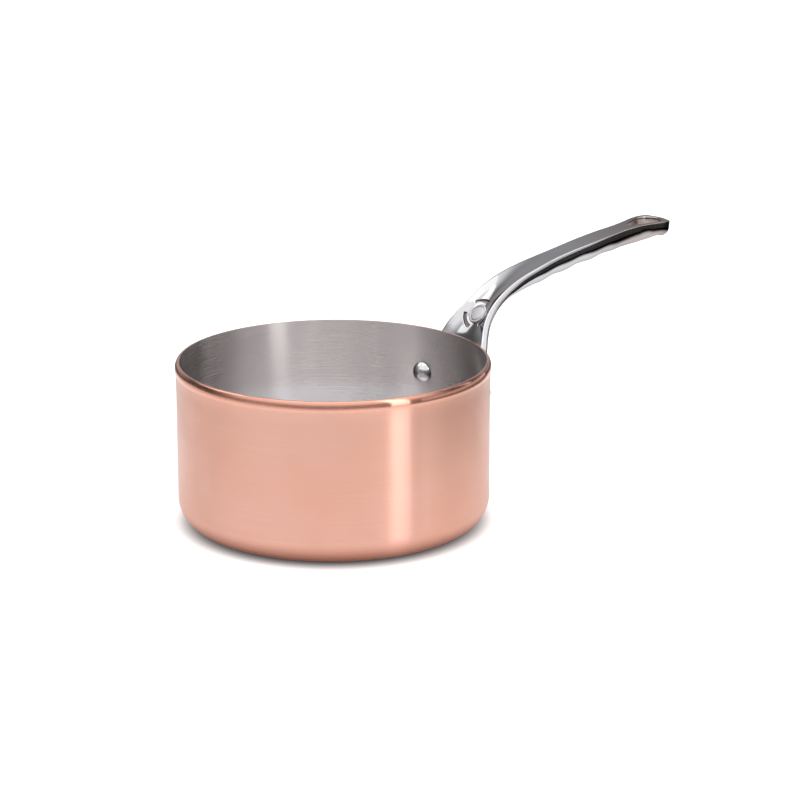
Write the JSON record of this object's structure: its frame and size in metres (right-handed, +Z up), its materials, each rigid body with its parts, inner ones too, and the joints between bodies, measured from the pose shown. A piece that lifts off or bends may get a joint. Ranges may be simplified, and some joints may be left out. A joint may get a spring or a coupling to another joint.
{
  "type": "saucepan",
  "caption": "Straight-sided copper saucepan with a thin steel lining, a rolled-out rim and one long cast steel handle that ends in a hanging eye.",
  "frame": {"origin": "on the pan's axis, at the plane the flat bottom stands on", "axes": "+Z up along the pan's axis; +X towards the handle's tip, in the handle's plane of symmetry"},
  "size_m": [0.3482, 0.1854, 0.1496],
  "materials": {
    "copper": "polished copper with fine turning lines",
    "lining": "satin stainless steel",
    "handle_steel": "polished cast stainless steel",
    "rivet_steel": "mirror polished stainless steel"
  },
  "bodies": {
    "root": {"copper_body": "copper", "steel_lining": "lining", "handle": "handle_steel", "rivet_left": "rivet_steel", "rivet_right": "rivet_steel"}
  },
  "joints": []
}
